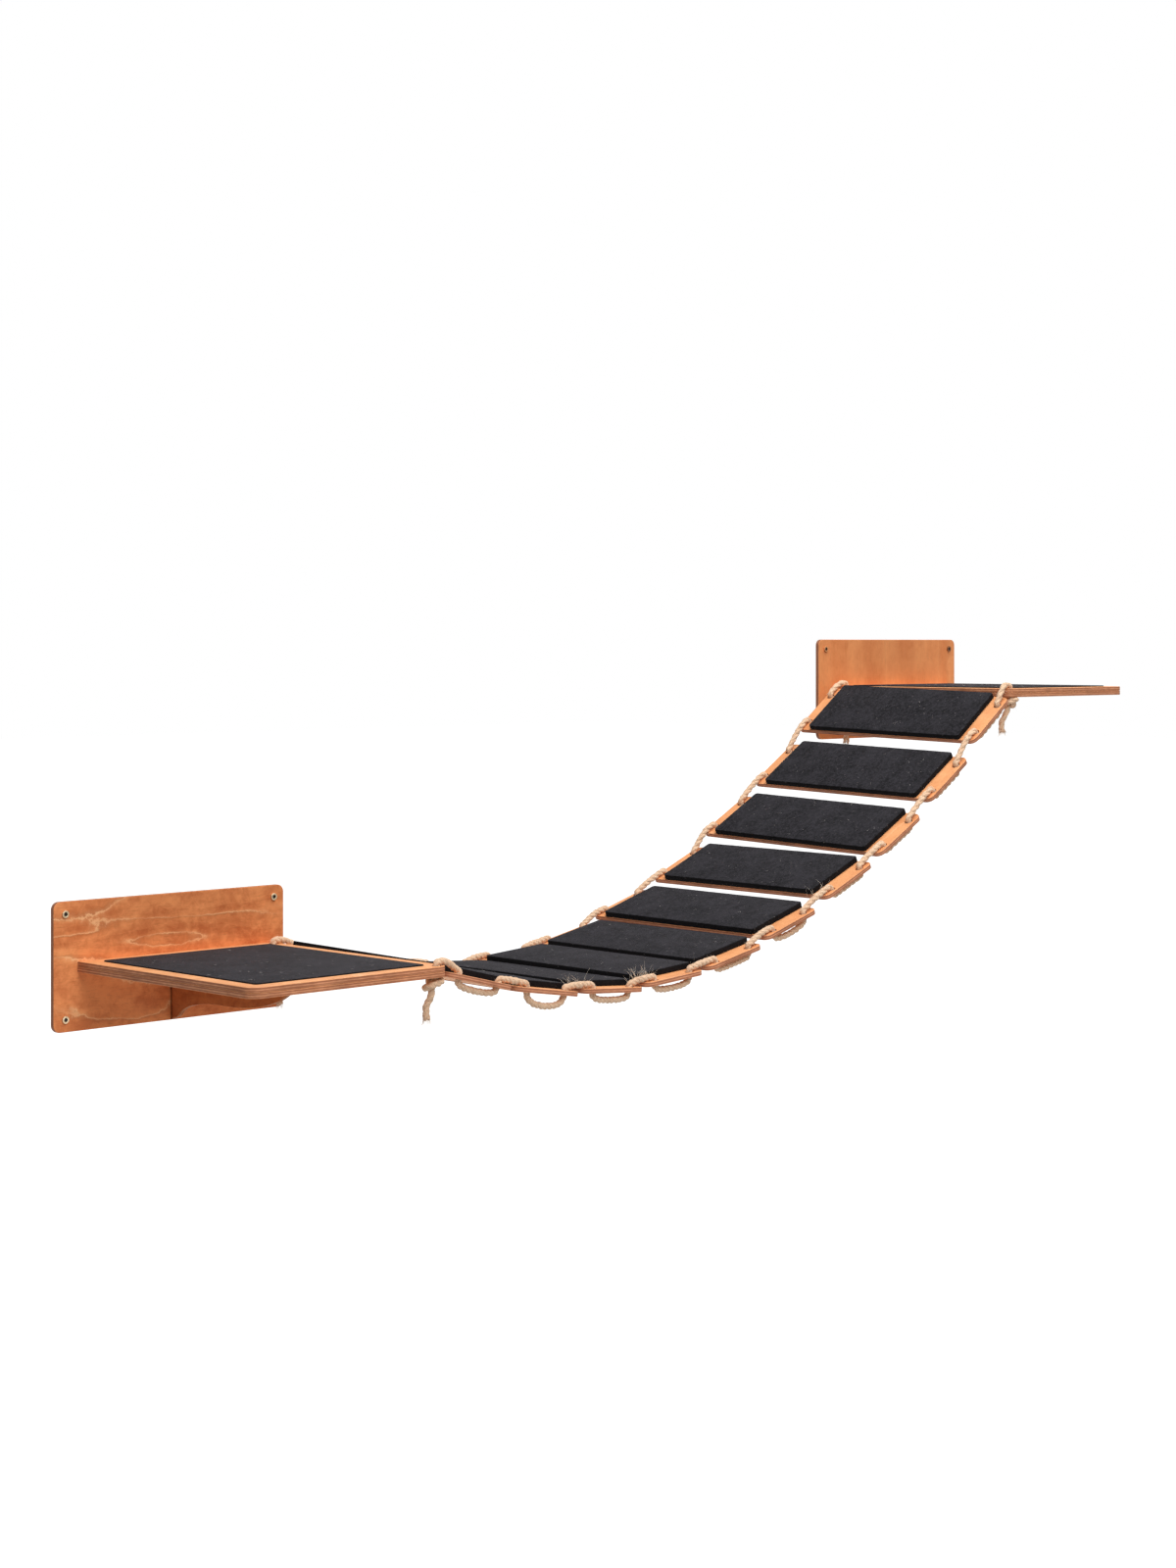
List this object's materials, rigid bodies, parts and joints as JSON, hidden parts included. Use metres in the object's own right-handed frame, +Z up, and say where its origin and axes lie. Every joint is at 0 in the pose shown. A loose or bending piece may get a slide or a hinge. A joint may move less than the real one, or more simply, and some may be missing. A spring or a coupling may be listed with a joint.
{
  "type": "cat wall bridge",
  "caption": "Cat wall bridge: plywood shelves on wall plates, joined by a sagging run of felt-topped slats threaded on rope.",
  "frame": {"origin": "centre of the back face of the left wall plate, where it meets the wall", "axes": "+X runs along the wall from the low shelf to the high one, +Y points into the wall, +Z is up"},
  "size_m": [1.6685, 0.3384, 0.4519],
  "materials": {
    "plate_wood": "orange-brown stained birch plywood, satin",
    "shelf_wood": "stained birch plywood, satin, with darker laser-cut edges",
    "slat_wood": "light orange-tan birch plywood, satin",
    "felt": "matte charcoal needle felt",
    "rope": "pale twisted jute rope",
    "brass": "satin pale brass"
  },
  "bodies": {
    "shelves_and_ropes": {"left_wall_plate": "plate_wood", "left_platform_base": "shelf_wood", "left_platform_rim": "shelf_wood", "left_platform_felt": "felt", "left_bracket": "shelf_wood", "left_wall_screw_1": "brass", "left_wall_screw_2": "brass", "left_wall_screw_3": "brass", "left_wall_screw_4": "brass", "right_wall_plate": "plate_wood", "right_platform_base": "shelf_wood", "right_platform_rim": "shelf_wood", "right_platform_felt": "felt", "right_bracket": "shelf_wood", "right_wall_screw_1": "brass", "right_wall_screw_2": "brass", "right_wall_screw_3": "brass", "right_wall_screw_4": "brass", "front_rope": "rope", "back_rope": "rope"},
    "slat_01": {"slat_01_board": "slat_wood", "slat_01_felt": "felt"},
    "slat_02": {"slat_02_board": "slat_wood", "slat_02_felt": "felt"},
    "slat_03": {"slat_03_board": "slat_wood", "slat_03_felt": "felt"},
    "slat_04": {"slat_04_board": "slat_wood", "slat_04_felt": "felt"},
    "slat_05": {"slat_05_board": "slat_wood", "slat_05_felt": "felt"},
    "slat_06": {"slat_06_board": "slat_wood", "slat_06_felt": "felt"},
    "slat_07": {"slat_07_board": "slat_wood", "slat_07_felt": "felt"},
    "slat_08": {"slat_08_board": "slat_wood", "slat_08_felt": "felt"},
    "slat_09": {"slat_09_board": "slat_wood", "slat_09_felt": "felt"},
    "slat_10": {"slat_10_board": "slat_wood", "slat_10_felt": "felt"}
  },
  "joints": [
    {"name": "slat_01_rock", "type": "hinge", "parent": "shelves_and_ropes", "child": "slat_01", "pos_m": [0.19994, -0.174, -0.01555], "axis": [0.0037, 0.9999, 0.0153], "range_deg": [-8, 8], "stiffness_Nm_per_rad": 1.5, "deforming": ["front_rope", "back_rope"]},
    {"name": "slat_02_rock", "type": "hinge", "parent": "shelves_and_ropes", "child": "slat_02", "pos_m": [0.30696, -0.174, -0.03797], "axis": [0.0018, 0.9999, 0.0121], "range_deg": [-8, 8], "stiffness_Nm_per_rad": 1.5, "deforming": ["front_rope", "back_rope"]},
    {"name": "slat_03_rock", "type": "hinge", "parent": "shelves_and_ropes", "child": "slat_03", "pos_m": [0.41517, -0.174, -0.0482], "axis": [0, 1, 0], "range_deg": [-8, 8], "stiffness_Nm_per_rad": 1.5, "deforming": ["front_rope", "back_rope"]},
    {"name": "slat_04_rock", "type": "hinge", "parent": "shelves_and_ropes", "child": "slat_04", "pos_m": [0.52189, -0.174, -0.04281], "axis": [-0.0003, 1, 0.0044], "range_deg": [-8, 8], "stiffness_Nm_per_rad": 1.5, "deforming": ["front_rope", "back_rope"]},
    {"name": "slat_05_rock", "type": "hinge", "parent": "shelves_and_ropes", "child": "slat_05", "pos_m": [0.63208, -0.174, -0.02549], "axis": [-0.0014, 1, 0.0068], "range_deg": [-8, 8], "stiffness_Nm_per_rad": 1.5, "deforming": ["front_rope", "back_rope"]},
    {"name": "slat_06_rock", "type": "hinge", "parent": "shelves_and_ropes", "child": "slat_06", "pos_m": [0.73966, -0.174, 0.00911], "axis": [-0.0035, 0.9999, 0.0117], "range_deg": [-8, 8], "stiffness_Nm_per_rad": 1.5, "deforming": ["front_rope", "back_rope"]},
    {"name": "slat_07_rock", "type": "hinge", "parent": "shelves_and_ropes", "child": "slat_07", "pos_m": [0.85521, -0.174, 0.05753], "axis": [-0.004, 0.9999, 0.0097], "range_deg": [-8, 8], "stiffness_Nm_per_rad": 1.5, "deforming": ["front_rope", "back_rope"]},
    {"name": "slat_08_rock", "type": "hinge", "parent": "shelves_and_ropes", "child": "slat_08", "pos_m": [0.95912, -0.174, 0.11687], "axis": [-0.0203, 0.9991, 0.0376], "range_deg": [-8, 8], "stiffness_Nm_per_rad": 1.5, "deforming": ["front_rope", "back_rope"]},
    {"name": "slat_09_rock", "type": "hinge", "parent": "shelves_and_ropes", "child": "slat_09", "pos_m": [1.0653, -0.174, 0.18741], "axis": [-0.0215, 0.9992, 0.0339], "range_deg": [-8, 8], "stiffness_Nm_per_rad": 1.5, "deforming": ["front_rope", "back_rope"]},
    {"name": "slat_10_rock", "type": "hinge", "parent": "shelves_and_ropes", "child": "slat_10", "pos_m": [1.16135, -0.174, 0.26686], "axis": [-0.0214, 0.9993, 0.0297], "range_deg": [-8, 8], "stiffness_Nm_per_rad": 1.5, "deforming": ["front_rope", "back_rope"]}
  ]
}
